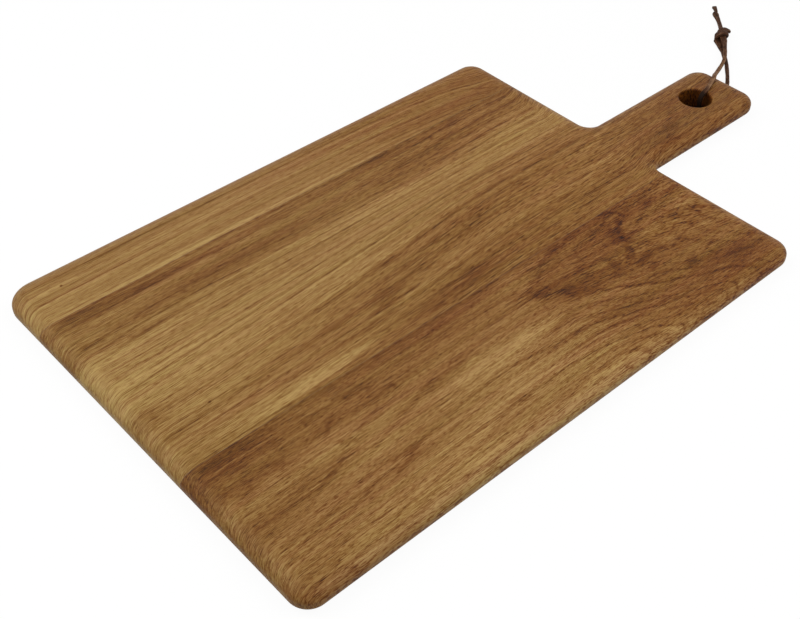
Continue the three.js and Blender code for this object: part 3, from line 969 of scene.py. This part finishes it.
knot_route = [
    knotted(-13.0, -1.0, 1.6, (0, 0, -1), 1.0),
    knotted(-8.5, -1.8, 1.75, (0, 0, -1), 1.35),
    knotted(-4.2, -2.2, 1.8, (0, 0, -1), 1.9),
    knotted(-1.0, -2.9, 2.1, (0, -0.25, -1), 2.2),
    knotted(0.6, -4.3, 3.2, (0, -0.8, -0.5), 2.1),
    knotted(0.6, -3.9, 5.0, (0, -0.85, 0.5), 1.9),
    knotted(1.0, -2.0, 6.6, (0, -0.3, 0.95), 1.9),
    knotted(2.0, 0.7, 7.1, (0, 0.1, 1), 1.8),
    knotted(3.0, 3.1, 6.2, (0, 0.6, 0.8), 1.6),
    knotted(3.9, 4.2, 4.2, (0, 1, 0), 1.3),
    knotted(4.3, 2.6, 1.9, (0, 0.6, -0.8), 1.7),
    knotted(4.2, 0.0, 1.5, (0, 0, -1), 1.95),
    knotted(4.0, -1.9, 2.2, (0, -0.7, -0.7), 1.9),
    knotted(4.4, -2.5, 4.2, (0, -1, 0), 1.3),
    knotted(5.3, -1.5, 6.3, (0, -0.6, 0.8), 1.3),
    knotted(6.5, 0.7, 6.9, (0, 0, 1), 1.3),
    knotted(7.8, 3.0, 6.3, (0, 0.3, 0.95), 1.35),
    knotted(8.5, 5.2, 5.2, (0.1, 0.3, 0.9), 1.4),
    knotted(8.8, 6.8, 4.4, (0.1, 0.3, 0.9), 1.4),
]
thong_over, over_path = lace("thong_over", over_route, 0.0)
thong_under, under_path = lace("thong_under", under_route, 0.5)
lace_knot = lace("lace_knot", knot_route, 0.8)[0]


for strand in (thong_over, thong_under):
    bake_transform(strand)
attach(lace_knot, "thong_loop")
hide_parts("thong_bight", "thong_strand_over", "thong_tail_long")
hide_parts("thong_strand_under")
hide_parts("thong_knot", "thong_tail_short")

LEATHER_GLOSS = 0.08
LEATHER_PAINTED_SHADE = -0.6
LEATHER_PAINTED_LIGHT = 0.38
LEATHER_DARK = (34, 21, 13)
LEATHER_BROWN = (84, 54, 36)
LEATHER_WORN_AND_LIT = (150, 114, 82)

leather = bpy.data.materials.new("brown_leather")
leather.use_nodes = True
tree = leather.node_tree
apart = node(tree, "SeparateXYZ", {"Vector": node(tree, "UVMap", uv_map="lace").outputs[0]}).outputs
length = calc(tree, "MULTIPLY", apart["X"], LACE_UV_LENGTH)
turn = calc(tree, "MULTIPLY", apart["Y"], 2 * math.pi)
around = node(tree, "CombineXYZ", {
    "X": length,
    "Y": calc(tree, "MULTIPLY", calc(tree, "COSINE", turn), LACE_HALF_WIDTH / MM),
    "Z": calc(tree, "MULTIPLY", calc(tree, "SINE", turn), LACE_HALF_WIDTH / MM),
}).outputs[0]
corner = calc(tree, "ABSOLUTE", calc(tree, "SINE", calc(tree, "MULTIPLY", turn, 2.0)))
worn = calc(tree, "POWER", corner, 5.0)
# Painted shade: the lace is painted darker inside the hole.
from_hole = node(tree, "VectorMath", {
    0: node(tree, "TexCoord").outputs["Object"], 1: (HOLE_X, 0, THICKNESS / 2),
}, operation="DISTANCE").outputs["Value"]
painted_hole_shade_on_lace = ease(tree, from_hole, HOLE_RADIUS + 2 * MM, HOLE_RADIUS - 2 * MM, 0.0, LEATHER_PAINTED_SHADE)
# Painted light: the lace is painted paler on its way from the hole to the knot, standing in for the light
# that falls on it there.
painted_light_on_lace = ease(tree, length, 8, 15, 0.0, LEATHER_PAINTED_LIGHT)
painted_light_on_lace = calc(tree, "MULTIPLY", painted_light_on_lace, ease(tree, length, 100, 70))
scuff = noise(tree, around, (5, 1.2, 1.2), detail=3.0)
hide = noise(tree, around, (0.9, 0.45, 0.45), detail=2.0, shift=3.0)
tone = total(
    tree, calc(tree, "MULTIPLY", calc(tree, "SUBTRACT", scuff, 0.5), 1.2),
    calc(tree, "MULTIPLY", calc(tree, "SUBTRACT", hide, 0.5), 0.6),
    calc(tree, "MULTIPLY", worn, 0.3), painted_hole_shade_on_lace, painted_light_on_lace, 0.3,
)
colours = node(tree, "ValToRGB", {"Fac": tone})
stops = colours.color_ramp.elements
stops[0].color = linear(LEATHER_DARK)
stops[1].color = linear(LEATHER_WORN_AND_LIT)
stops.new(0.5).color = linear(LEATHER_BROWN)
bump = node(tree, "Bump", {
    "Height": calc(tree, "ADD", scuff, hide), "Strength": 0.3, "Distance": 0.0004,
})
shader = tree.nodes["Principled BSDF"]
tree.links.new(colours.outputs["Color"], shader.inputs["Base Color"])
tree.links.new(ease(tree, scuff, 0.2, 0.8, 0.7, 0.5), shader.inputs["Roughness"])
tree.links.new(bump.outputs["Normal"], shader.inputs["Normal"])
shader.inputs["Specular IOR Level"].default_value = LEATHER_GLOSS
for piece in (thong_over, thong_under, lace_knot):
    piece.data.materials.append(leather)


# The white table that the board lies on. Seen directly it is plain white with a faint shadow, and it
# gives little light back to the board. Under the hole it is painted dark, as painted shade.

TABLE_SIZE = 8.0
TABLE_WHITE = 1.02
SHADOW_SHARE = 0.08
SEEN_PALENESS = 0.6
BOUNCE_PALENESS = 0.25
PAINTED_SHADE_PALENESS = 0.05

bpy.ops.object.select_all(action="DESELECT")
bpy.ops.mesh.primitive_plane_add(size=TABLE_SIZE, location=(0, 0, 0))
floor = bpy.context.object
floor.name = "white_table"
table = bpy.data.materials.new("white_table")
table.use_nodes = True
tree = table.node_tree
tree.nodes.remove(tree.nodes["Principled BSDF"])


def seen_directly(tree):
    """1 for what the camera, a reflection or a see-through piece looks at, and 0 for plain light."""
    path = node(tree, "LightPath").outputs
    seen = calc(tree, "MAXIMUM", path["Is Camera Ray"], path["Is Glossy Ray"])
    return calc(tree, "MAXIMUM", seen, path["Is Transmission Ray"])


white = node(tree, "Emission", {"Color": (1, 1, 1, 1), "Strength": TABLE_WHITE}).outputs[0]
from_hole = node(tree, "VectorMath", {
    0: node(tree, "TexCoord").outputs["Object"], 1: (HOLE_X, 0, 0),
}, operation="DISTANCE").outputs["Value"]
# Painted shade: under the hole and just round it the table is painted dark.
open_table = ease(tree, from_hole, 1.1 * HOLE_RADIUS, 2 * HOLE_RADIUS)
bounce = calc(tree, "MULTIPLY_ADD", seen_directly(tree), SEEN_PALENESS, BOUNCE_PALENESS)
paleness = calc(tree, "MULTIPLY_ADD", open_table, bounce, PAINTED_SHADE_PALENESS)
shaded = node(tree, "BsdfDiffuse", {"Color": paleness}).outputs[0]
share = calc(tree, "MULTIPLY", seen_directly(tree), calc(tree, "MULTIPLY", open_table, 1 - SHADOW_SHARE))
mixed = node(tree, "MixShader", {0: share, 1: shaded, 2: white}).outputs[0]
tree.links.new(mixed, tree.nodes["Material Output"].inputs["Surface"])
floor.data.materials.append(table)


# The light: a large soft box at the far left, another at the near right, and an even white room round
# them that looks plain white where it is seen directly.

ROOM_LIGHT = 0.42

world = bpy.data.worlds.new("studio")
bpy.context.scene.world = world
world.use_nodes = True
tree = world.node_tree
tree.nodes["Background"].inputs["Color"].default_value = (1, 1, 1, 1)
level = calc(tree, "MULTIPLY_ADD", seen_directly(tree), 1 - ROOM_LIGHT, ROOM_LIGHT)
tree.links.new(level, tree.nodes["Background"].inputs["Strength"])


def softbox(name, place, aim, size, power):
    """A square soft light at that place, turned to the aim."""
    lamp = bpy.data.lights.new(name, "AREA")
    lamp.shape = "SQUARE"
    lamp.size = size
    lamp.energy = power
    holder = bpy.data.objects.new(name, lamp)
    holder.location = place
    holder.rotation_euler = (Vector(aim) - Vector(place)).to_track_quat("-Z", "Y").to_euler()
    bpy.context.collection.objects.link(holder)


softbox("key_light", place=(-0.75, 0.55, 1.15), aim=(-0.08, 0, 0), size=1.0, power=7.6)
softbox("fill_light", place=(0.5, -0.9, 1.2), aim=(0, 0, 0), size=1.2, power=8.4)
bpy.context.scene.view_settings.view_transform = "Standard"
